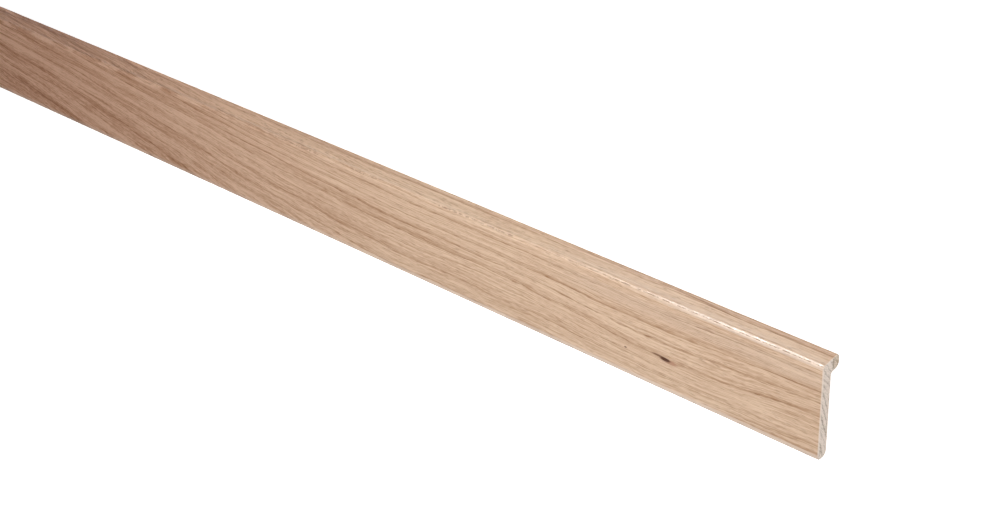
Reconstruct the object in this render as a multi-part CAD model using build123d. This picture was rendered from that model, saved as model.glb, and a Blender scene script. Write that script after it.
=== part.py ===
from build123d import *

import os
from math import atan2, degrees

# Stair tread back strip: a solid oak L moulding that caps the rear edge of a stair tread.
# Its leg covers the tread's rear edge and its lip laps over the tread's top.
# The section is drawn as fitted: depth runs back from the show face, height runs up from the foot.
# The finished strip is laid on the floor, show face up, on its lip tip and the back of its foot.

# Driving dimensions, in millimetres
LENGTH = 1200.0  # stock length for one tread
HEIGHT = 60.0  # foot to lip top
LEG_THICKNESS = 8.0
LIP_DEPTH = 15.0  # show face to lip tip
LIP_THICKNESS = 8.0

# Moulded radii of the section
FACE_EDGE_RADIUS = 2.5  # where the show face turns over into the lip top
TIP_TOP_RADIUS = 2.5
BEARING_RADIUS = 3.0  # lip tip underside and foot back, the two edges the strip lies on
INNER_RADIUS = 1.5  # root of the lip
FOOT_FRONT_RADIUS = 3.0
END_EASE = 0.5  # sanded arris round each sawn end

# The two bearing edges share one radius, so the strip lies parallel to the line between their centres
LYING_TILT = degrees(atan2(LIP_DEPTH - LEG_THICKNESS, HEIGHT - LIP_THICKNESS))
FACE_UP = -90.0  # turns the show face from the front to the top


def moulded_section():
    """L outline in (depth, height), each corner with its own radius."""
    lip_underside = HEIGHT - LIP_THICKNESS
    corners = [
        ((0, 0), FOOT_FRONT_RADIUS),
        ((0, HEIGHT), FACE_EDGE_RADIUS),
        ((LIP_DEPTH, HEIGHT), TIP_TOP_RADIUS),
        ((LIP_DEPTH, lip_underside), BEARING_RADIUS),
        ((LEG_THICKNESS, lip_underside), INNER_RADIUS),
        ((LEG_THICKNESS, 0), BEARING_RADIUS),
    ]
    outline = make_face(Polyline(*[point for point, _ in corners], close=True))
    for point, radius in corners:
        vertex = outline.vertices().sort_by_distance(point)[0]
        outline = fillet(vertex, radius)
    return outline


def standing_strip():
    """The moulding run out to length along X, with both sawn ends eased."""
    run = extrude(Plane.YZ * moulded_section(), amount=LENGTH / 2, both=True)
    ends = run.faces().sort_by(Axis.X)
    arrises = [edge for face in (ends[0], ends[-1]) for edge in face.edges()]
    return fillet(arrises, END_EASE)


def lying_strip():
    """Face up on a level floor, centred over the origin."""
    strip = Rot(X=FACE_UP + LYING_TILT) * standing_strip()
    box = strip.bounding_box()
    return Pos(-box.center().X, -box.center().Y, -box.min.Z) * strip


back_strip = lying_strip()
back_strip.label = "back_strip"
os.makedirs("parts", exist_ok=True)
export_step(back_strip, "parts/back_strip.step")
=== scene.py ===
from math import atan2, ceil, cos, pi, radians, sin

import bpy
from mathutils import Matrix, Vector

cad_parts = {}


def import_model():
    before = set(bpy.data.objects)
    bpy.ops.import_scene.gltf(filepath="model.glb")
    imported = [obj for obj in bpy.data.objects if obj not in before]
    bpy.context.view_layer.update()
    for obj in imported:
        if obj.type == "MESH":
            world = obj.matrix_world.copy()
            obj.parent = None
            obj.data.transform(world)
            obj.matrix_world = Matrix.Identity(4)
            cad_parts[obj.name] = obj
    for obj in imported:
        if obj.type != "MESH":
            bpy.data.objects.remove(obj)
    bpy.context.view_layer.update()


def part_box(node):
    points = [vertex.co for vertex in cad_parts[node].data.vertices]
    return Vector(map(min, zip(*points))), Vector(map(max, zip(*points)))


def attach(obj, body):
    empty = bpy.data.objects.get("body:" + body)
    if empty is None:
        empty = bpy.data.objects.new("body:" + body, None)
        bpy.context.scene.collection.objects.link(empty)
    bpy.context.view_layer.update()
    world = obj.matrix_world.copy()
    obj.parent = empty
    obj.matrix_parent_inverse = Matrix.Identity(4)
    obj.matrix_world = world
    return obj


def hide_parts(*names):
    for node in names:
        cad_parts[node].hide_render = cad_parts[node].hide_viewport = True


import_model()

# Stair tread back strip in satin lacquered oak, lying face up as it is stored.
# Section sizes are in millimetres: depth runs back from the show face, height up from the foot.
# Places along the strip are in millimetres from its near end, negative towards the far end.

MM = 0.001

# Section of the moulding
HEIGHT = 60.0
LEG_THICKNESS = 8.0
LIP_DEPTH = 15.0
LIP_THICKNESS = 8.0
FACE_EDGE_RADIUS = 2.5
TIP_TOP_RADIUS = 2.5
BEARING_RADIUS = 3.0
INNER_RADIUS = 1.5
FOOT_FRONT_RADIUS = 3.0
END_EASE = 0.5
LYING_TILT = atan2(LIP_DEPTH - LEG_THICKNESS, HEIGHT - LIP_THICKNESS)

# Mesh steps
ARC_STEPS = 8  # along each moulded radius
EASE_STEPS = 4  # round each sawn end
FLAT_STEP = 10.0  # longest edge across a flat
STATION_STEP = 8.0  # between rings of the mesh along the strip
QUAD = 4  # corners of each face between two rings
MAP_ROWS = 3  # the strip's skin is cut into this many lengths in its UV map
MAP_GAP = 3.0  # bare strip round each part of the UV map

# Camera of the photograph, round the strip as it stands when fitted, from its near foot corner
EYE = (350.2, -617.2, 605.0)
YAW, PITCH, ROLL = radians(42.020), radians(34.021), radians(3.414)
LENS, SENSOR = 65.43, 36.0
CLIP_NEAR, CLIP_FAR = 0.01, 100.0

# Studio, in metres and watts
FLOOR_SIZE = 12.0
FLOOR_WHITE = (0.86, 0.86, 0.86, 1)
FLOOR_LIFT = 0.82  # what the floor sends to the camera beside the light that it scatters
WORLD_WHITE = (1, 1, 1, 1)
WORLD_FILL = 0.20
SOFTBOXES = (  # name, place, aim, size, power
    ("overhead", (0.42, 0.14, 0.50), (0.42, 0.0, 0.0), (0.40, 0.40), 2.26),
    ("far_fill", (-0.60, 0.10, 0.34), (-0.70, 0.0, 0.0), (0.60, 0.30), 0.45),
    ("end_light", (1.20, 0.30, 0.40), (0.60, 0.0, 0.0), (0.50, 0.50), 3.3),
    ("low_gleam", (0.37, 0.48, 0.12), (0.37, 0.0, 0.03), (0.24, 0.20), 10.0),
    ("high_gleam", (0.385, 0.19, 0.50), (0.55, 0.03, 0.0), (0.14, 0.06), 2.6),
)
GLOSS_ONLY = {"low_gleam", "high_gleam"}  # show in the lacquer without lighting the wood
LIGHT_ONLY = {"overhead", "far_fill"}  # light the wood without showing in the lacquer

# The tree that the strip was sawn from: its heart runs in front of the face and below the foot
HEART_DEPTH = 150.0
HEART_HEIGHT = -35.0
HEART_DRIFT = 36.0  # how much nearer the heart comes towards the far end
RING_WIDTH = 2.95
RING_PHASE = 0.51
RING_SCATTER = (4.89, 58.4)  # picks which years are strongly marked
GRAIN_LEAN = -0.45  # keeps the fine grain about as broad on the lip as on the face

# Pin knot and fleck on the show face, and how the rings swell and curl round the knot
KNOT_ALONG, KNOT_HEIGHT = -95.0, 22.4
FLECK_ALONG, FLECK_HEIGHT = -120.0, 18.9
SWELL_MIDDLE, SWELL_REACH, SWELLING = (KNOT_ALONG, KNOT_HEIGHT + 5.0), (72.0, 24.0), 2.4
CURL_MIDDLE, CURL_REACH = (KNOT_ALONG, KNOT_HEIGHT + 2.0), (70.0, 7.0)

# Belts of darker and paler wood on the show face
BELTS = (  # middle along and up, reach along and up, how much darker
    ((-300.0, 23.0), (130.0, 10.5), 0.17),
    ((-40.0, 34.0), (45.0, 10.0), 0.10),
    ((-370.0, 45.0), (110.0, 8.0), -0.08),
    ((-610.0, 10.0), (70.0, 7.0), -0.07),
    ((-610.0, 30.0), (60.0, 6.0), -0.09),
    ((-600.0, 41.0), (50.0, 5.0), 0.05),
)

# Patterns of noise: size along the grain, across it and up, in millimetres, then detail and roughness
SLOW_WAVE, SLOW_SWING = ((150.0, 30.0, 30.0), 2.0, 0.5), 1.3
QUICK_WAVE, QUICK_SWING = ((40.0, 6.0, 6.0), 3.0, 0.6), 0.9
RAGGED_RING, RAGGED_SWING = ((8.0, 0.7, 1.5), 2.0, 0.6), 0.3
ARRIS_WANDER, ARRIS_SWING = ((60.0, 9.0, 9.0), 2.0, 0.5), 0.8
LINE_WANDER, LINE_SWING = ((45.0, 30.0, 30.0), 2.0, 0.5), 2.2
SPECK = ((5.0, 0.28, 1.2), 1.0, 0.5)
STREAK = ((70.0, 0.6, 8.0), 3.0, 0.6)
BAND = ((180.0, 1.6, 20.0), 2.0, 0.5)
BROAD = ((260.0, 4.5, 40.0), 2.0, 0.5)
SAWN_MOTTLE = ((4.0, 0.9, 0.9), 2.0, 0.6)

# Patches of noise: such a pattern, the levels of it between which a patch comes in, and its values there
BROKEN_RING = ((45.0, 0.6, 4.0), 4.0, 0.65), (0.3, 0.7, 0.6, 1.2)
FIBRE = ((45.0, 0.30, 4.0), 2.0, 0.6), (0.3, 0.7, -1.0, 1.0)
ARRIS_DASH = ((2.4, 4.0, 4.0), 3.0, 0.7), (0.40, 0.56)
ARRIS_PATCH = ((30.0, 9.0, 9.0), 2.0, 0.5), (0.44, 0.54)
# patches of painted glints on the far arris
PAINTED_GLINT = ((22.0, 9.0, 9.0), 2.0, 0.5), (0.48, 0.6)
LIP_PATCH = ((40.0, 6.0, 30.0), 2.0, 0.5), (0.40, 0.55)
LINE_LENS = ((26.0, 3.0, 30.0), 1.0, 0.5), (0.36, 0.56)
OPEN_GRAIN = ((2.2, 1.2, 1.2), 1.0, 0.5), (0.45, 0.62)

# Scattered vessels: how far apart in millimetres, and the shares of that between which one fades out
CROWDED_PORE = (7.0, 0.35, 0.7), (0.15, 0.40)
SPARSE_PORE, SPARSE_SHARE = ((8.0, 0.6, 1.3), (0.10, 0.28)), 0.55
LIP_PORE = (8.0, 0.9, 3.0), (0.12, 0.34)

# Changes along the strip: where each starts and where it is full, then its values there unless 0 and 1
HEART_NEARER = (-900.0, -260.0, HEART_DEPTH - HEART_DRIFT, HEART_DEPTH)
FAR = (-190.0, -700.0)  # the wood turns darker, partly as painted shade of the light falling off, and its grain softer
BEYOND = (-1100.0, -740.0, 0.5, 1.0)  # that lessens again at the far end
# painted reflection of the white floor on the foot's rounding, strongest near the near end
FOOT_SHEEN = (-450.0, -120.0, 0.35, 1.0)
# how strong the painted highlight, laid as pale wood on the near arris, is along the strip
ARRIS_PAINTED_HIGHLIGHT = (-135.0, -60.0, 0.0, 0.66)
ARRIS_OPEN = (-210.0, -90.0)  # the vessels in the arris lie open
ARRIS_SCATTERED = (-440.0, -340.0, 0.0, 0.8)  # and here and there only
ARRIS_NARROW = (-190.0, -120.0, 1.1, 0.5)  # half the width of their row
LINE_DARK = (-150.0, -60.0, 0.24, 0.48)  # the lip's brown line
BACK_DARK = (-150.0, -110.0, 0.0, 0.13)
LIP_FAR_DARK = (-545.0, -590.0, 0.0, 0.20)
FRONT_DARK = (-80.0, -160.0, -0.10, -0.15)
LIP_TINTED = (-110.0, -200.0)
PAINTED_LIP_SHEEN = (-190.0, -120.0, 0.0, 0.36)  # how strong the painted sheen on the lip's front is beside the near arris
PAINTED_FACE_SHEEN = (-190.0, -130.0, 0.0, 0.216)  # and the painted sheen on the face there

# Stretches with two ends, each end given in that way
ARRIS_PALE = (-300.0, -250.0), (-175.0, -215.0)
LIP_PALE = (-340.0, -290.0), (-130.0, -180.0)
LIP_PORED = (-520.0, -400.0), (-90.0, -180.0)
LINE_BEND = (-190.0, -150.0, 0.0, 1.9), (-60.0, -95.0)  # how much further back the brown line runs

# Changes by depth or height in the section, given in that way too
SKIN = (6.0, 1.0)  # how deep marks on the show face go
ARRIS_REACH = (2.5, 1.8)  # down from the lip's top plus back from the face
CROWDED_HEIGHT = (44.0, 53.0, 0.0, 1.5)  # the rings crowd together below the arris
LIP_STARTS = (2.0, 4.0)
LIP_FRONT = (6.8, 3.0)
LIP_MIDDLE = (8.2, 9.8)  # from the shade of the lip's front to that of its back
LIP_PORE_DEPTH = (0.5, 1.5), (10.0, 7.0)
LINE_DEPTH = 9.8
LINE_EDGE = (0.2, 1.2, 1.0, 0.0)  # off the middle of the brown line
ROW_MIDDLE, ROW_CORE = 0.3, 0.15  # of the arris's vessels
# painted shade on the lip's rounded back edge, which turns away from the light
PAINTED_BACK_EDGE_SHADE = (11.8, 13.4, 0.0, 0.22)
# where the painted sheen lies on the face, below the arris
PAINTED_SHEEN_HEIGHT, PAINTED_SHEEN_DEPTH = ((43.0, 49.0), (56.0, 53.5)), (1.0, 0.3)
# the foot's rounding, where its painted reflection lies
FOOT_SHEEN_HEIGHT = (4.9, 3.1)
MATT_DEPTH = (0.7, 0.1)
CALM_HEIGHT, LIP_END_HEIGHT = (24.0, 42.0, 1.0, 0.72), (50.0, 55.0)
SAWN_TIP_DEPTH, SAWN_FRONT_DEPTH = (8.5, 12.0, 0.0, 0.30), (1.3, 0.5, 0.0, 0.7)

# Early wood, in shares of a year or of its full strength: at the near end, and the change to the far end
EARLY_ONSET = 0.92, -0.22
EARLY_FADE, EARLY_FADE_MARKED = (0.20, 0.25), 0.45  # longer in a strongly marked year
EARLY_LINE = (0.02, 0.14, 1.0, 0.0)
CRISP_SHARE, SOFT_SHARE = (0.7, -0.6), 0.5

# How much darker each thing makes the wood, below zero for paler
EARLY_DARK, FIBRE_DARK, STREAK_DARK, BAND_DARK = 0.51, 0.24, 0.28, 0.17
SPECK_DARK, SPECK_CALMED = 0.38, -0.28  # calmed on the lip towards the far end
BROAD_DARK, BROAD_FAR_DARK = 0.34, 0.42
# the first is the painted glints
PAINTED_GLINT_DARK, ARRIS_PALE_DARK, LIP_PALE_DARK = -0.45, -0.18, -0.10
BACK_FADING = (0.0, 0.8, 0.05, -0.12)  # the lip's back, paler as the wood takes on its far look
BACK_RAGGED = 4.0  # how far the grain shifts where the lip's back begins
WOOD_DARK, CONTRAST, FAR_CONTRAST = 0.26, 0.90, 0.53
SAWN_RING, MOTTLE_DARK, SAWN_SHADE = (0.05, 0.5, 0.28, 0.0), 0.35, (0.1, 0.85)

# Shares of one colour laid over another
PORE_SHARE, LIP_PORE_SHARE, ARRIS_PORE_SHARE, SAWN_PORE_SHARE = 0.6, 0.45, 0.65, 0.8
BARE_AND_SHEEN_SHARE = 0.6
KNOT_EDGE = (0.25, 0.75)

# How much the surface faces along the strip where the end's arris is eased and where its saw cut is
EASED_FACING, SAWN_FACING = (0.10, 0.35), (0.35, 0.80)

# Lacquer: how rough it is, what adds to that, and how strongly it reflects
GLOSS_ROUGH, ROUGHEST = 0.28, 0.9
HOLLOW_ROUGH, OPEN_ROUGH, EARLY_ROUGH, SAWN_ROUGH = 0.5, 0.22, 0.15, 0.45
ARRIS_ROUGH, FACE_ROUGH = -0.05, 0.24
SPECULAR = 0.2

# Relief in millimetres, and how it changes towards the far end
HOLLOW_RELIEF, FIBRE_RELIEF, SPECK_RELIEF, OPEN_RELIEF = -0.12, 0.02, 0.04, -0.06
RELIEF_SHARE = 1.0, -0.7


def tone(red, green, blue):
    """A screen colour, 0 to 255, as the linear colour that a shader takes."""
    parts = [channel / 255 for channel in (red, green, blue)]
    linear = [p / 12.92 if p <= 0.04045 else ((p + 0.055) / 1.055) ** 2.4 for p in parts]
    return (*linear, 1)


# Colours of the wood
GRAIN_COLOURS = (  # how dark the grain is, and its colour
    (0.0, tone(222, 194, 167)),
    (0.35, tone(203, 171, 144)),
    (0.7, tone(179, 143, 113)),
    (1.0, tone(152, 113, 82)),
)
PORE = tone(126, 86, 60)
SAWN_PALE, SAWN_DARK = tone(227, 213, 201), tone(168, 151, 136)
SAWN_PORE, SAWN_TIP = tone(104, 91, 79), tone(214, 193, 158)
BARE_AND_SHEEN = tone(230, 214, 200)  # bare wood where an arris was eased after lacquering; also laid on the foot's rounding and about the near arris as painted reflection, highlight and sheen

# Tints laid over the wood's own colour
FAR_TINT_AND_SHADE = tone(248, 224, 218)  # all of the wood towards the far end: darker wood, and painted shade where the light falls off
FAR_LIP_TINT = tone(255, 249, 241)  # the lip there, besides
LIP_TINT = tone(255, 253, 248)  # the lip, except at the near end

# Marks of the pin knot and the fleck
KNOT_MARKS = (  # middle, reach, share of the stain, stain
    ((KNOT_ALONG + 4.0, KNOT_HEIGHT - 0.9), (5.5, 1.6), 0.6, tone(162, 108, 84)),
    ((KNOT_ALONG - 3.4, KNOT_HEIGHT + 0.7), (4.6, 0.8), 0.8, tone(108, 70, 50)),
    ((KNOT_ALONG + 0.9, KNOT_HEIGHT - 0.2), (3.9, 1.35), 1.0, tone(84, 52, 36)),
    ((FLECK_ALONG, FLECK_HEIGHT), (1.0, 0.55), 0.85, tone(98, 66, 48)),
)


# Section outline

def rounded_corner(before, corner, after, radius):
    """Points round one square corner, each with the direction that its surface faces."""
    to_before = (Vector(before) - Vector(corner)).normalized()
    to_after = (Vector(after) - Vector(corner)).normalized()
    centre = Vector(corner) + (to_before + to_after) * radius
    outward = 1 if to_before.cross(to_after) > 0 else -1
    points = []
    for step in range(ARC_STEPS + 1):
        turn = pi / 2 * step / ARC_STEPS
        spoke = -to_after * cos(turn) - to_before * sin(turn)
        points.append((centre + spoke * radius, spoke * outward))
    return points


def section_outline():
    """The L section as (depth and height, facing) pairs, starting half way up the leg's back."""
    underside = HEIGHT - LIP_THICKNESS
    corners = [
        ((LEG_THICKNESS, 0), BEARING_RADIUS),
        ((0, 0), FOOT_FRONT_RADIUS),
        ((0, HEIGHT), FACE_EDGE_RADIUS),
        ((LIP_DEPTH, HEIGHT), TIP_TOP_RADIUS),
        ((LIP_DEPTH, underside), BEARING_RADIUS),
        ((LEG_THICKNESS, underside), INNER_RADIUS),
    ]
    start = (Vector((LEG_THICKNESS, underside / 2)), Vector((1, 0)))
    outline = [start]
    for index, (corner, radius) in enumerate(corners):
        before = corners[index - 1][0]
        after = corners[(index + 1) % len(corners)][0]
        add_run(outline, rounded_corner(before, corner, after, radius))
    add_run(outline, [start])
    return outline[:-1]


def add_run(outline, points):
    """Adds a flat up to the first point, in even steps, then the points."""
    (here, _), (there, facing) = outline[-1], points[0]
    steps = max(1, ceil((there - here).length / FLAT_STEP))
    for step in range(1, steps):
        outline.append((here.lerp(there, step / steps), facing))
    outline.extend(points)


# Strip mesh

def lying(depth, height):
    """Across and up in the row frame for a direction in the section."""
    across = depth * sin(LYING_TILT) + height * cos(LYING_TILT)
    up = -depth * cos(LYING_TILT) + height * sin(LYING_TILT)
    return across, up


def resting_place():
    """Row place of the near end's foot corner, in millimetres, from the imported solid's box."""
    low, high = (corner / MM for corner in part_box("back_strip"))
    laid = [lying(*point) for point, _ in section_outline()]
    across = [place[0] for place in laid]
    lowest = min(place[1] for place in laid)
    middle = (min(across) + max(across)) / 2
    return Vector((high.x, (low.y + high.y) / 2 - middle, low.z - lowest))


def stations(near_end, far_end):
    """Rings of the mesh as (x, how far the section is drawn in, how much it faces an end, which end)."""
    far = []
    for step in range(EASE_STEPS + 1):
        turn = pi / 2 * (1 - step / EASE_STEPS)
        far.append((far_end + END_EASE * (1 - sin(turn)), END_EASE * (1 - cos(turn)), sin(turn), -1))
    near = [(near_end + far_end - x, drawn, share, 1) for x, drawn, share, _ in reversed(far)]
    between = int((near_end - END_EASE) // STATION_STEP)
    run = [(step * STATION_STEP, 0, 0, 0) for step in range(-between, between + 1)]
    return far + run + near


def strip_mesh():
    """The moulding as one closed mesh with exact facings, so that its roundings shade smoothly."""
    outline = section_outline()
    origin = resting_place()
    low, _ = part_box("back_strip")
    rings = stations(origin.x, low.x / MM)
    vertices, facings = [], []
    for x, drawn, share, end in rings:
        for point, facing in outline:
            across, up = lying(*(point - facing * drawn))
            vertices.append(Vector((x, origin.y + across, origin.z + up)) * MM)
            side = (1 - share * share) ** 0.5
            face_across, face_up = lying(*facing)
            facings.append((end * share, side * face_across, side * face_up))
    mesh = bpy.data.meshes.new("back_strip_oak")
    mesh.from_pydata(vertices, [], strip_faces(len(outline), len(rings)))
    mesh.polygons.foreach_set("use_smooth", [True] * len(mesh.polygons))
    mesh.normals_split_custom_set_from_vertices(facings)
    map_skin(mesh, outline, rings)
    mesh.update()
    return mesh


def strip_faces(count, ring_count):
    """Quads between neighbouring rings of count points, and a cap on each end."""
    faces = []
    for ring in range(ring_count - 1):
        for index in range(count):
            after = (index + 1) % count
            here, there = ring * count, (ring + 1) * count
            faces.append((here + index, there + index, there + after, here + after))
    last = (ring_count - 1) * count
    faces.append(tuple(range(count)))
    faces.append(tuple(last + index for index in reversed(range(count))))
    return faces


def map_skin(mesh, outline, rings):
    """UV map: the skin unrolled in even lengths, one above the other, and the two ends beside them."""
    count = len(outline)
    around = [0.0]
    for index in range(count):
        step = outline[(index + 1) % count][0] - outline[index][0]
        around.append(around[-1] + step.length)
    first, final = rings[0][0], rings[-1][0]
    length = (final - first) / MAP_ROWS
    row_height = around[-1] + MAP_GAP
    side = MAP_ROWS * row_height + MAP_GAP
    layer = mesh.uv_layers.new(name="OFBake")
    for polygon in mesh.polygons:
        corners = list(polygon.loop_indices)
        places = [divmod(mesh.loops[loop].vertex_index, count) for loop in corners]
        if len(corners) > QUAD:
            lift = MAP_GAP + (0 if places[0][0] == 0 else HEIGHT + MAP_GAP)
            left = length + 2 * MAP_GAP + END_EASE
            spots = [(left + outline[index][0].x, lift + outline[index][0].y) for _, index in places]
        else:
            middle = sum(rings[ring][0] for ring, _ in places) / QUAD - first
            row = min(int(middle / length), MAP_ROWS - 1)
            wraps = {index for _, index in places} == {0, count - 1}
            spots = []
            for ring, index in places:
                along = rings[ring][0] - first - row * length
                turn = around[count] if wraps and index == 0 else around[index]
                spots.append((MAP_GAP + along, MAP_GAP + row * row_height + turn))
        for loop, (u, v) in zip(corners, spots):
            layer.data[loop].uv = (u / side, v / side)


# Node helpers

class Graph:
    """Short ways to add nodes to one node tree."""

    MIX_SHARE, MIX_FIRST, MIX_SECOND, MIXED = 0, 6, 7, 2  # sockets of a mix node that mixes colours

    def __init__(self, tree):
        self.tree = tree
        tree.nodes.clear()

    def node(self, kind, **settings):
        made = self.tree.nodes.new(kind)
        for name, value in settings.items():
            setattr(made, name, value)
        return made

    def feed(self, socket, value):
        if isinstance(value, bpy.types.NodeSocket):
            self.tree.links.new(value, socket)
        else:
            socket.default_value = value

    def math(self, operation, *values):
        made = self.node("ShaderNodeMath", operation=operation)
        for socket, value in zip(made.inputs, values):
            self.feed(socket, value)
        return made.outputs[0]

    def add(self, *values):
        total = values[0]
        for value in values[1:]:
            total = self.math("ADD", total, value)
        return total

    def times(self, *values):
        total = values[0]
        for value in values[1:]:
            total = self.math("MULTIPLY", total, value)
        return total

    def less(self, value, taken):
        return self.math("SUBTRACT", value, taken)

    def most(self, first, second):
        return self.math("MAXIMUM", first, second)

    def linear(self, value, slope, start):
        """Start plus slope times the value."""
        return self.math("MULTIPLY_ADD", value, slope, start)

    def ramp(self, value, start, end, low=0.0, high=1.0):
        """Smooth step from low at start to high at end."""
        made = self.node("ShaderNodeMapRange", interpolation_type="SMOOTHSTEP")
        for socket, given in zip(made.inputs, (value, start, end, low, high)):
            self.feed(socket, given)
        return made.outputs[0]

    def between(self, value, first, second):
        """Product of two ramps, one in and one out."""
        return self.times(self.ramp(value, *first), self.ramp(value, *second))

    def vector(self, *parts):
        made = self.node("ShaderNodeCombineXYZ")
        for socket, part in zip(made.inputs, parts):
            self.feed(socket, part)
        return made.outputs[0]

    def parts(self, vector):
        made = self.node("ShaderNodeSeparateXYZ")
        self.feed(made.inputs[0], vector)
        return made.outputs

    def stretch(self, place, size):
        """Place measured in steps of these three lengths."""
        made = self.node("ShaderNodeVectorMath", operation="DIVIDE")
        self.feed(made.inputs[0], place)
        self.feed(made.inputs[1], size)
        return made.outputs[0]

    def noise(self, place, pattern):
        """Noise from about 0 to 1 in this pattern."""
        size, detail, roughness = pattern
        made = self.node("ShaderNodeTexNoise", noise_dimensions="3D")
        self.feed(made.inputs["Vector"], self.stretch(place, size))
        self.feed(made.inputs["Scale"], 1.0)
        self.feed(made.inputs["Detail"], detail)
        self.feed(made.inputs["Roughness"], roughness)
        return made.outputs[0]

    def swing(self, place, pattern):
        """Noise about zero, from about -1 to 1."""
        return self.linear(self.noise(place, pattern), 2.0, -1.0)

    def patches(self, place, pattern, change):
        """A change that comes in over some levels of a noise pattern."""
        return self.ramp(self.noise(place, pattern), *change)

    def vessels(self, place, spacing, fade):
        """1 inside scattered vessels, 0 between them."""
        cells = self.node("ShaderNodeTexVoronoi", feature="F1")
        self.feed(cells.inputs["Vector"], self.stretch(place, spacing))
        self.feed(cells.inputs["Scale"], 1.0)
        return self.ramp(cells.outputs["Distance"], *fade, 1.0, 0.0)

    def mix(self, share, first, second, blend="MIX"):
        made = self.node("ShaderNodeMix", data_type="RGBA", blend_type=blend)
        self.feed(made.inputs[self.MIX_SHARE], share)
        self.feed(made.inputs[self.MIX_FIRST], first)
        self.feed(made.inputs[self.MIX_SECOND], second)
        return made.outputs[self.MIXED]

    def spot(self, along, height, middle, reach):
        """1 at the middle of an oval on the show face, falling to 0 round it."""
        x = self.math("DIVIDE", self.less(along, middle[0]), reach[0])
        z = self.math("DIVIDE", self.less(height, middle[1]), reach[1])
        square = self.add(self.times(x, x), self.times(z, z))
        return self.math("EXPONENT", self.times(square, -1.0))


# Oak

class Wood:
    """What the oak's colour, gloss and relief are worked out from, at each point of the strip."""

    def __init__(self, graph):
        self.place, self.along, self.depth, self.height = grain_place(graph)
        self.endwise = facing_endwise(graph)
        self.sawn = graph.ramp(self.endwise, *SAWN_FACING)
        self.on_lip = graph.ramp(self.depth, *LIP_STARTS)
        self.lip_front = graph.times(self.on_lip, graph.ramp(self.depth, *LIP_FRONT))
        self.arris = graph.ramp(graph.less(graph.add(self.depth, HEIGHT), self.height), *ARRIS_REACH)
        self.far = graph.between(self.along, FAR, BEYOND)
        self.far_end = graph.times(self.far, self.far)
        self.grown = grown_out(graph, self)
        across = graph.linear(self.depth, GRAIN_LEAN, self.grown)
        self.flow = graph.vector(self.along, across, self.height)
        self.year, self.strength = growth_rings(graph, self)
        self.early = early_wood(graph, self)
        self.pore = pores(graph, self)
        self.arris_pore = arris_vessels(graph, self)
        self.hollow = graph.most(self.pore, self.arris_pore)
        self.open_grain = graph.patches(self.place, *OPEN_GRAIN)
        self.speck = graph.swing(self.flow, SPECK)
        self.fibre = graph.patches(self.flow, *FIBRE)
        self.streak = graph.swing(self.flow, STREAK)
        self.dark = darkness(graph, self)


def grain_place(graph):
    """Place in the wood, in millimetres, and its parts: along, depth and height."""
    origin = resting_place()
    turn = pi / 2 - LYING_TILT
    back = Matrix.Rotation(turn, 3, "X") @ -origin
    coordinates = graph.node("ShaderNodeTexCoord")
    mapping = graph.node("ShaderNodeMapping", vector_type="POINT")
    graph.feed(mapping.inputs["Vector"], coordinates.outputs["Object"])
    graph.feed(mapping.inputs["Location"], back)
    graph.feed(mapping.inputs["Rotation"], (turn, 0, 0))
    graph.feed(mapping.inputs["Scale"], (1 / MM,) * 3)
    return mapping.outputs[0], *graph.parts(mapping.outputs[0])


def facing_endwise(graph):
    """How much the surface faces along the strip, 0 to 1."""
    geometry = graph.node("ShaderNodeNewGeometry")
    return graph.math("ABSOLUTE", graph.parts(geometry.outputs["Normal"])[0])


def towards_far(graph, wood, near, change):
    """A value at the near end that changes by this much towards the far end."""
    return graph.linear(wood.far, change, near)


def grown_out(graph, wood):
    """Distance from the heart of the tree, with the waviness that the wood grew with."""
    heart = graph.ramp(wood.along, *HEART_NEARER)
    swelling = graph.times(graph.spot(wood.along, wood.height, SWELL_MIDDLE, SWELL_REACH), SWELLING)
    curl = graph.spot(wood.along, wood.height, CURL_MIDDLE, CURL_REACH)
    out = graph.add(wood.depth, heart, swelling, curl)
    up = graph.less(wood.height, HEART_HEIGHT)
    radius = graph.math("SQRT", graph.add(graph.times(out, out), graph.times(up, up)))
    slow = graph.times(graph.swing(wood.place, SLOW_WAVE), SLOW_SWING)
    quick = graph.times(graph.swing(wood.place, QUICK_WAVE), QUICK_SWING)
    crowded = graph.ramp(wood.height, *CROWDED_HEIGHT)
    return graph.add(radius, slow, quick, crowded)


def growth_rings(graph, wood):
    """How far through its year each place grew, 0 to 1, and how marked that year's ring is."""
    ragged = graph.times(graph.swing(wood.flow, RAGGED_RING), RAGGED_SWING)
    years = graph.linear(graph.add(wood.grown, ragged), 1 / RING_WIDTH, RING_PHASE)
    scatter = graph.math("SINE", graph.times(graph.math("FLOOR", years), RING_SCATTER[0]))
    strength = graph.math("FRACT", graph.times(scatter, RING_SCATTER[1]))
    return graph.math("FRACT", years), strength


def early_wood(graph, wood):
    """The porous dark start of each year: a crisp line that fades outwards, blurred at the far end."""
    onset = graph.ramp(wood.year, towards_far(graph, wood, *EARLY_ONSET), 1.0)
    line = graph.most(onset, graph.ramp(wood.year, *EARLY_LINE))
    fade_end = graph.linear(wood.strength, EARLY_FADE_MARKED, towards_far(graph, wood, *EARLY_FADE))
    fade = graph.most(onset, graph.ramp(wood.year, 0.0, fade_end, 1.0, 0.0))
    crisp = graph.times(line, towards_far(graph, wood, *CRISP_SHARE))
    both = graph.add(crisp, graph.times(fade, SOFT_SHARE))
    return graph.times(both, wood.strength, graph.patches(wood.flow, *BROKEN_RING))


def pores(graph, wood):
    """Open vessels: crowded in the early wood, sparse elsewhere."""
    crowded = graph.times(graph.vessels(wood.flow, *CROWDED_PORE), wood.early)
    sparse = graph.times(graph.vessels(wood.flow, *SPARSE_PORE), SPARSE_SHARE)
    return graph.most(crowded, sparse)


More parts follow.
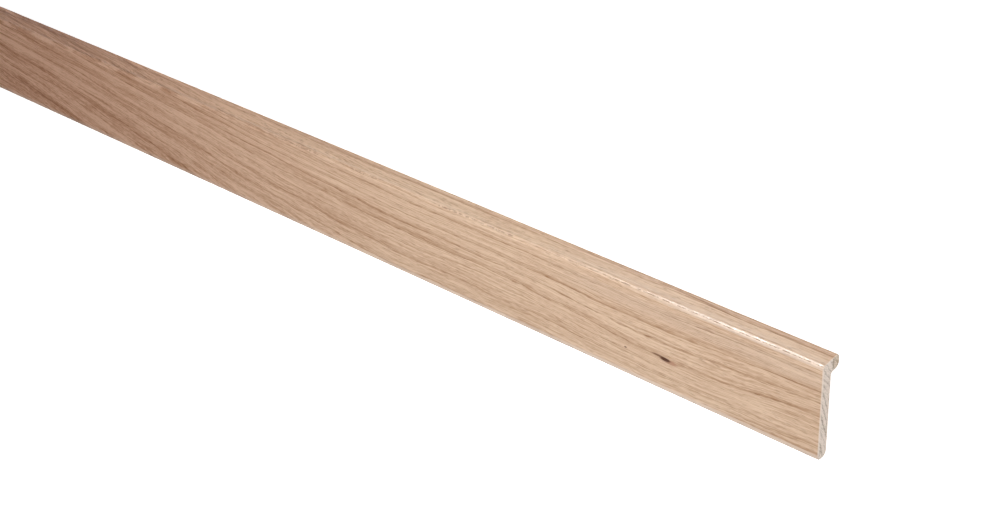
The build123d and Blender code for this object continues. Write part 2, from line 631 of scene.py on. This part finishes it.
def arris_vessels(graph, wood):
    """A row of open vessels along the middle of the arris, scattered before it closes up."""
    turn = graph.less(graph.add(wood.depth, wood.height), HEIGHT)
    wander = graph.times(graph.swing(wood.place, ARRIS_WANDER), ARRIS_SWING)
    off = graph.math("ABSOLUTE", graph.less(turn, graph.add(wander, ROW_MIDDLE)))
    row = graph.ramp(off, ROW_CORE, graph.ramp(wood.along, *ARRIS_NARROW), 1.0, 0.0)
    dashes = graph.patches(wood.place, *ARRIS_DASH)
    patches = graph.patches(wood.place, *ARRIS_PATCH)
    scattered = graph.times(patches, graph.ramp(wood.along, *ARRIS_SCATTERED))
    opened = graph.most(graph.ramp(wood.along, *ARRIS_OPEN), scattered)
    return graph.times(wood.arris, row, dashes, opened)


def lip_vessels(graph, wood):
    """Short thin vessels on the front half of the lip, in patches along its middle."""
    dashes = graph.vessels(wood.place, *LIP_PORE)
    patches = graph.patches(wood.place, *LIP_PATCH)
    front = graph.between(wood.depth, *LIP_PORE_DEPTH)
    return graph.times(dashes, patches, front, graph.between(wood.along, *LIP_PORED))


def lip_line(graph, wood, bend):
    """How dark the brown line is that wanders along the lip near its back, in lens shaped lengths."""
    wander = graph.times(graph.swing(wood.place, LINE_WANDER), LINE_SWING)
    off = graph.math("ABSOLUTE", graph.less(wood.depth, graph.add(wander, bend, LINE_DEPTH)))
    line = graph.times(graph.ramp(off, *LINE_EDGE), graph.patches(wood.place, *LINE_LENS))
    return graph.times(line, graph.ramp(wood.along, *LINE_DARK))


def lip_shade(graph, wood):
    """How much darker the lip is: paler in front, with its brown line, its darker back and painted shade
    on its rounded back edge.
    """
    bend = graph.between(wood.along, *LINE_BEND)
    far_dark = graph.ramp(wood.along, *LIP_FAR_DARK)
    front = graph.add(far_dark, graph.ramp(wood.along, *FRONT_DARK))
    back = graph.add(graph.ramp(wood.along, *BACK_DARK), far_dark, graph.ramp(wood.far, *BACK_FADING))
    behind = graph.less(graph.linear(wood.streak, BACK_RAGGED, wood.depth), bend)
    return graph.add(
        graph.times(graph.ramp(behind, *LIP_MIDDLE, front, back), wood.on_lip),
        lip_line(graph, wood, bend),
        # painted shade on the rounded back edge
        graph.ramp(wood.depth, *PAINTED_BACK_EDGE_SHADE),
        graph.times(wood.lip_front, graph.between(wood.along, *LIP_PALE), LIP_PALE_DARK),
    )


def arris_shade(graph, wood):
    """How much paler the arris is: painted glints at the far end and a pale stretch along the middle."""
    # painted glints on the far arris
    glints = graph.times(wood.arris, wood.far, graph.patches(wood.place, *PAINTED_GLINT), PAINTED_GLINT_DARK)
    pale = graph.times(wood.arris, graph.between(wood.along, *ARRIS_PALE), ARRIS_PALE_DARK)
    return graph.add(glints, pale)


def belts(graph, wood):
    """How much darker the show face is where a broad belt of its wood is."""
    total = 0.0
    for middle, reach, darker in BELTS:
        belt = graph.spot(wood.along, wood.height, middle, reach)
        total = graph.add(total, graph.times(belt, darker))
    return graph.times(total, graph.ramp(wood.depth, *SKIN))


def darkness(graph, wood):
    """How dark the grain is, 0 to 1, before its pores."""
    speck_dark = graph.linear(wood.on_lip, graph.times(wood.far, SPECK_CALMED), SPECK_DARK)
    broad_dark = graph.linear(wood.far_end, BROAD_FAR_DARK, BROAD_DARK)
    figure = graph.add(
        graph.times(wood.early, EARLY_DARK),
        graph.times(wood.speck, speck_dark),
        graph.times(wood.fibre, FIBRE_DARK),
        graph.times(wood.streak, STREAK_DARK),
        graph.times(graph.swing(wood.flow, BAND), BAND_DARK),
        graph.times(graph.swing(wood.flow, BROAD), broad_dark),
        lip_shade(graph, wood),
        arris_shade(graph, wood),
        belts(graph, wood),
    )
    return graph.linear(figure, graph.linear(wood.far_end, FAR_CONTRAST, CONTRAST), WOOD_DARK)


def grain_colour(graph, wood):
    """Colour of the lacquered wood, with its pores, tints, painted shade towards the far end, and pin
    knot.
    """
    colours = graph.node("ShaderNodeValToRGB")
    stops = colours.color_ramp.elements
    for position, _ in GRAIN_COLOURS[1:-1]:
        stops.new(position)
    for stop, (position, colour) in zip(stops, GRAIN_COLOURS):
        stop.position, stop.color = position, colour
    graph.feed(colours.inputs[0], wood.dark)
    colour = graph.mix(graph.times(wood.pore, PORE_SHARE), colours.outputs[0], PORE)
    colour = graph.mix(graph.times(lip_vessels(graph, wood), LIP_PORE_SHARE), colour, PORE)
    tinted = graph.times(wood.on_lip, graph.ramp(wood.along, *LIP_TINTED))
    colour = graph.mix(tinted, colour, LIP_TINT, "MULTIPLY")
    # darker far wood, partly painted shade of the light falling off
    colour = graph.mix(wood.far, colour, FAR_TINT_AND_SHADE, "MULTIPLY")
    colour = graph.mix(graph.times(wood.far, wood.on_lip), colour, FAR_LIP_TINT, "MULTIPLY")
    return pin_knot(graph, wood, colour)


def pin_knot(graph, wood, colour):
    """A small dark branch end with a brown tail, and a fleck beside it, both only skin deep."""
    skin = graph.ramp(wood.depth, *SKIN)
    for middle, reach, share, stain in KNOT_MARKS:
        mark = graph.ramp(graph.spot(wood.along, wood.height, middle, reach), *KNOT_EDGE, 0.0, share)
        colour = graph.mix(graph.times(mark, skin), colour, stain)
    return colour


def sawn_colour(graph, wood):
    """Colour of the sawn ends: pale, with rings that are calmer up the leg, and a warmer lip tip."""
    ring = graph.ramp(wood.year, *SAWN_RING)
    mottle = graph.times(graph.swing(wood.place, SAWN_MOTTLE), MOTTLE_DARK)
    leg = graph.ramp(wood.height, *CALM_HEIGHT)
    calm = graph.most(leg, graph.ramp(wood.height, *LIP_END_HEIGHT))
    shade = graph.times(graph.ramp(graph.add(wood.dark, ring, mottle), *SAWN_SHADE), calm)
    colour = graph.mix(shade, SAWN_PALE, SAWN_DARK)
    colour = graph.mix(graph.ramp(wood.depth, *SAWN_TIP_DEPTH), colour, SAWN_TIP)
    colour = graph.mix(graph.times(wood.pore, SAWN_PORE_SHARE), colour, SAWN_PORE)
    return graph.mix(graph.ramp(wood.depth, *SAWN_FRONT_DEPTH), colour, BARE_AND_SHEEN)


def bareness_and_sheen(graph, wood):
    """How pale the wood is laid: bare on the ends' arrises, with painted reflection on the foot, painted
    highlight on the near arris and painted sheen a little beside it.
    """
    # painted reflection of the white floor on the foot's rounding
    foot = graph.times(graph.ramp(wood.height, *FOOT_SHEEN_HEIGHT), graph.ramp(wood.along, *FOOT_SHEEN))
    ends = graph.ramp(wood.endwise, *EASED_FACING)
    # painted highlight along the near arris
    arris = graph.times(wood.arris, graph.ramp(wood.along, *ARRIS_PAINTED_HIGHLIGHT))
    # painted sheen on the face and the lip's front beside the near arris
    face = graph.times(graph.between(wood.height, *PAINTED_SHEEN_HEIGHT), graph.ramp(wood.depth, *PAINTED_SHEEN_DEPTH))
    face = graph.times(face, graph.ramp(wood.along, *PAINTED_FACE_SHEEN))
    lip = graph.times(wood.lip_front, graph.ramp(wood.along, *PAINTED_LIP_SHEEN))
    return graph.most(graph.most(graph.most(foot, ends), arris), graph.add(face, lip))


def wood_colour(graph, wood):
    """Colour of the whole surface: lacquered, bare where it was eased, with painted highlight, sheen and
    reflection about the near arris and on the foot, and sawn at the ends.
    """
    colour = grain_colour(graph, wood)
    # bare wood, and painted highlight, sheen and reflection, laid over the lacquered colour
    colour = graph.mix(graph.times(bareness_and_sheen(graph, wood), BARE_AND_SHEEN_SHARE), colour, BARE_AND_SHEEN)
    colour = graph.mix(graph.times(wood.arris_pore, ARRIS_PORE_SHARE), colour, PORE)
    return graph.mix(wood.sawn, colour, sawn_colour(graph, wood))


def wood_roughness(graph, wood):
    """Satin on the lip, more matt on the face, a little more polished on the arris, dull in the pores."""
    on_face = graph.ramp(wood.depth, *MATT_DEPTH)
    rough = graph.add(
        GLOSS_ROUGH,
        graph.times(wood.arris, ARRIS_ROUGH),
        graph.times(on_face, graph.ramp(wood.arris, 0.0, 1.0, FACE_ROUGH, 0.0)),
        graph.times(wood.hollow, HOLLOW_ROUGH),
        graph.times(wood.open_grain, OPEN_ROUGH),
        graph.times(wood.early, EARLY_ROUGH),
        graph.times(wood.sawn, SAWN_ROUGH),
    )
    return graph.math("MINIMUM", rough, ROUGHEST)


def wood_relief(graph, wood):
    """Height of the surface in millimetres: hollow pores and fine fibre, smoother at the far end."""
    relief = graph.add(
        graph.times(wood.hollow, HOLLOW_RELIEF),
        graph.times(wood.fibre, FIBRE_RELIEF),
        graph.times(wood.speck, SPECK_RELIEF),
        graph.times(wood.arris, wood.open_grain, OPEN_RELIEF),
    )
    return graph.times(relief, towards_far(graph, wood, *RELIEF_SHARE))


def oak():
    """Satin lacquered oak whose rings and pores run through the wood, with a pin knot on its face."""
    material = bpy.data.materials.new("oak")
    material.use_nodes = True
    graph = Graph(material.node_tree)
    wood = Wood(graph)
    bump = graph.node("ShaderNodeBump")
    graph.feed(bump.inputs["Strength"], 1.0)
    graph.feed(bump.inputs["Distance"], MM)
    graph.feed(bump.inputs["Height"], wood_relief(graph, wood))
    shader = graph.node("ShaderNodeBsdfPrincipled")
    graph.feed(shader.inputs["Base Color"], wood_colour(graph, wood))
    graph.feed(shader.inputs["Roughness"], wood_roughness(graph, wood))
    graph.feed(shader.inputs["Specular IOR Level"], SPECULAR)
    graph.feed(shader.inputs["Normal"], bump.outputs[0])
    output = graph.node("ShaderNodeOutputMaterial")
    graph.feed(output.inputs["Surface"], shader.outputs[0])
    return material


def back_strip():
    """The strip itself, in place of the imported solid."""
    piece = bpy.data.objects.new("back_strip_oak", strip_mesh())
    bpy.context.scene.collection.objects.link(piece)
    piece.data.materials.append(oak())
    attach(piece, "root")
    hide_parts("back_strip")


# Studio

def seen_directly(graph):
    """1 for rays that show a surface as it is: camera, glossy and transmission rays."""
    path = graph.node("ShaderNodeLightPath")
    direct = graph.most(path.outputs["Is Camera Ray"], path.outputs["Is Glossy Ray"])
    return graph.most(direct, path.outputs["Is Transmission Ray"])


def floor():
    """Pale floor that shows white right up to the strip."""
    half = FLOOR_SIZE / 2
    corners = [(-half, -half, 0), (half, -half, 0), (half, half, 0), (-half, half, 0)]
    mesh = bpy.data.meshes.new("floor")
    mesh.from_pydata(corners, [], [(0, 1, 2, 3)])
    plane = bpy.data.objects.new("floor", mesh)
    bpy.context.scene.collection.objects.link(plane)
    material = bpy.data.materials.new("floor")
    material.use_nodes = True
    graph = Graph(material.node_tree)
    matt = graph.node("ShaderNodeBsdfDiffuse")
    graph.feed(matt.inputs["Color"], FLOOR_WHITE)
    glow = graph.node("ShaderNodeEmission")
    graph.feed(glow.inputs["Strength"], graph.times(seen_directly(graph), FLOOR_LIFT))
    both = graph.node("ShaderNodeAddShader")
    graph.feed(both.inputs[0], matt.outputs[0])
    graph.feed(both.inputs[1], glow.outputs[0])
    output = graph.node("ShaderNodeOutputMaterial")
    graph.feed(output.inputs["Surface"], both.outputs[0])
    plane.data.materials.append(material)


def world():
    """Even light from all round, white where it is seen."""
    made = bpy.data.worlds.new("studio")
    made.use_nodes = True
    graph = Graph(made.node_tree)
    background = graph.node("ShaderNodeBackground")
    graph.feed(background.inputs["Color"], WORLD_WHITE)
    strength = graph.ramp(seen_directly(graph), 0.0, 1.0, WORLD_FILL, 1.0)
    graph.feed(background.inputs["Strength"], strength)
    output = graph.node("ShaderNodeOutputWorld")
    graph.feed(output.inputs["Surface"], background.outputs[0])
    bpy.context.scene.world = made


def softbox(name, place, aim, size, power):
    """A rectangular lamp that faces its aim."""
    data = bpy.data.lights.new(name, "AREA")
    data.shape = "RECTANGLE"
    data.size, data.size_y = size
    data.energy = power
    lamp = bpy.data.objects.new(name, data)
    lamp.location = place
    lamp.rotation_mode = "QUATERNION"
    lamp.rotation_quaternion = (Vector(aim) - Vector(place)).to_track_quat("-Z", "Y")
    lamp.visible_camera = False
    lamp.visible_diffuse = name not in GLOSS_ONLY
    lamp.visible_glossy = name not in LIGHT_ONLY
    bpy.context.scene.collection.objects.link(lamp)


def camera():
    """The photograph's camera: placed round the standing strip, then laid down with it."""
    across, up = lying(1, 0), lying(0, 1)
    lay = Matrix(((1, 0, 0), (0, across[0], up[0]), (0, across[1], up[1])))
    forward = Vector((-sin(YAW) * cos(PITCH), cos(YAW) * cos(PITCH), -sin(PITCH)))
    level = forward.cross(Vector((0, 0, 1))).normalized()
    plumb = forward.cross(level)
    right = level * cos(ROLL) + plumb * sin(ROLL)
    down = plumb * cos(ROLL) - level * sin(ROLL)
    columns = Matrix((lay @ right, lay @ -down, lay @ -forward)).transposed()
    data = bpy.data.cameras.new("camera")
    data.lens, data.sensor_width = LENS, SENSOR
    data.clip_start, data.clip_end = CLIP_NEAR, CLIP_FAR
    eye = bpy.data.objects.new("camera", data)
    place = (lay @ Vector(EYE) + resting_place()) * MM
    eye.matrix_world = Matrix.Translation(place) @ columns.to_4x4()
    bpy.context.scene.collection.objects.link(eye)
    bpy.context.scene.camera = eye


bpy.context.scene.view_settings.view_transform = "Standard"
back_strip()
floor()
world()
for lamp in SOFTBOXES:
    softbox(*lamp)
camera()
